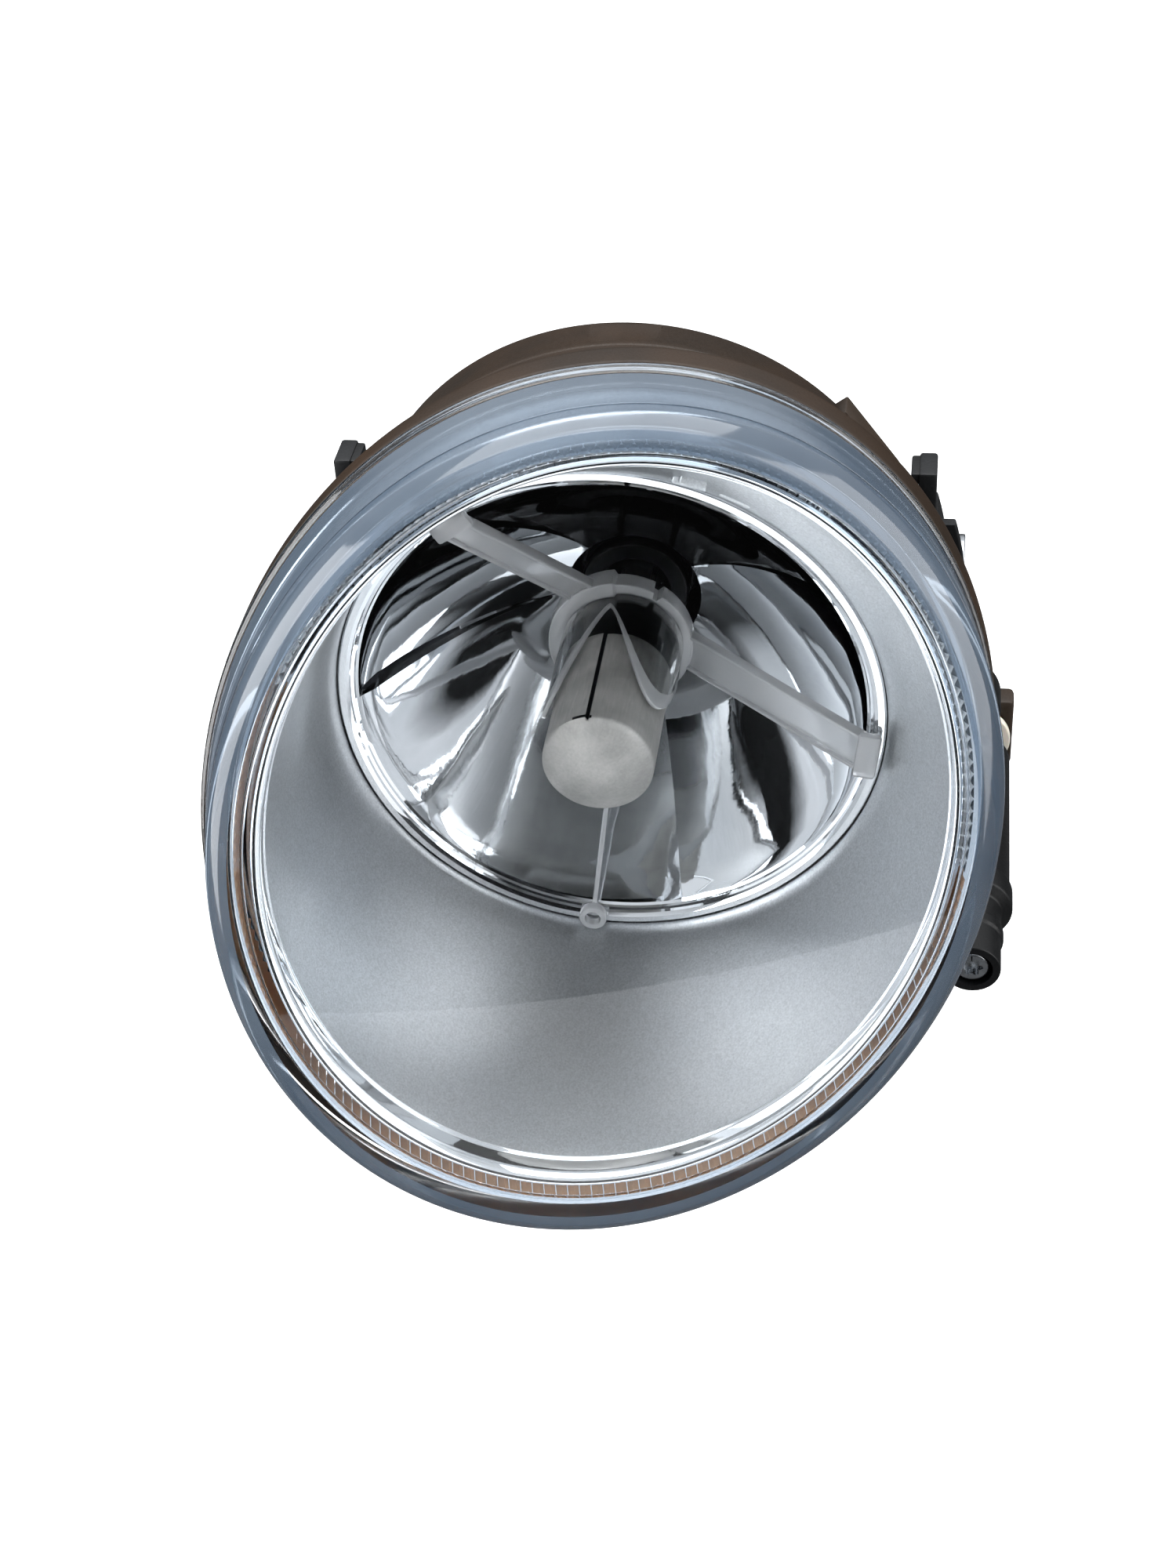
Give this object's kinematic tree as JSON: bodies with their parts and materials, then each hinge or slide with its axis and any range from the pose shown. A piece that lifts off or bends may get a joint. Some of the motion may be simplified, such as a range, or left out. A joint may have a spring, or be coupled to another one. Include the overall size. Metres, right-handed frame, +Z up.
{
  "type": "fog light",
  "caption": "Round sealed front fog light with a raked clear lens and a hidden bulb, tilting in a carrier with an aim screw.",
  "frame": {"origin": "where the optical axis crosses the plane of the carrier's three fixing ears", "axes": "-Y along the beam, +Z up, +X to the right as seen from the front of the lamp"},
  "size_m": [0.1292, 0.1438, 0.129],
  "materials": {
    "clear_lens": "clear gloss polycarbonate",
    "sealant": "grey-blue bonding sealant",
    "satin_silver": "satin metallised plastic",
    "chrome": "mirror metallising",
    "grey_steel": "matt grey steel",
    "clear_holder": "clear, lightly frosted plastic",
    "bulb_glass": "clear bulb glass",
    "tungsten": "dull tungsten wire",
    "zinc_steel": "zinc-plated steel",
    "bulb_base": "matt black plastic",
    "black_rubber": "matt black rubber",
    "tin_terminal": "tinned brass blade",
    "black_plastic": "black moulded plastic with a low sheen",
    "carrier_plastic": "black glass-filled nylon",
    "nylon": "natural nylon"
  },
  "bodies": {
    "carrier": {"carrier": "carrier_plastic", "ear_bush_left": "zinc_steel", "ear_bush_lower": "zinc_steel", "ear_bush_right": "zinc_steel", "pivot_bush_left": "nylon", "pivot_bush_right": "nylon"},
    "lamp": {"housing": "black_plastic", "lens": "clear_lens", "lens_gasket": "sealant", "bezel": "satin_silver", "reflector": "chrome", "shield_holder": "clear_holder", "bulb_shield": "grey_steel", "vent_cap": "black_rubber", "pivot_pin_left": "zinc_steel", "pivot_pin_right": "zinc_steel"},
    "bulb": {"bulb_base": "bulb_base", "bulb_glass": "bulb_glass", "filament": "tungsten", "bulb_ferrule": "zinc_steel", "bulb_o_ring": "black_rubber", "terminal_left": "tin_terminal", "terminal_right": "tin_terminal"},
    "adjuster": {"adjuster_screw": "zinc_steel", "adjuster_washer": "zinc_steel"},
    "nut": {"adjuster_nut": "nylon"}
  },
  "joints": [
    {"name": "adjuster_spin", "type": "hinge", "parent": "carrier", "child": "adjuster", "pos_m": [0.0594, 0, -0.0407], "axis": [0, -1, 0], "range_deg": [-720, 720]},
    {"name": "nut_travel", "type": "slide", "parent": "carrier", "child": "nut", "axis": [0, -1, 0], "range_m": [-0.0031, 0.0031]},
    {"name": "lamp_tilt", "type": "hinge", "parent": "carrier", "child": "lamp", "pos_m": [0, -0.0038, 0.004], "axis": [1, 0, 0], "range_deg": [-3.9, 3.9]},
    {"name": "bulb_turn", "type": "hinge", "parent": "lamp", "child": "bulb", "pos_m": [0, 0, 0], "axis": [0, 1, 0], "range_deg": [0, 40]}
  ],
  "couplings": [
    {"joint": "nut_travel", "follows": "adjuster_spin", "m_per_rad": -0.00023873},
    {"joint": "lamp_tilt", "follows": "adjuster_spin", "ratio": 0.0053408}
  ]
}
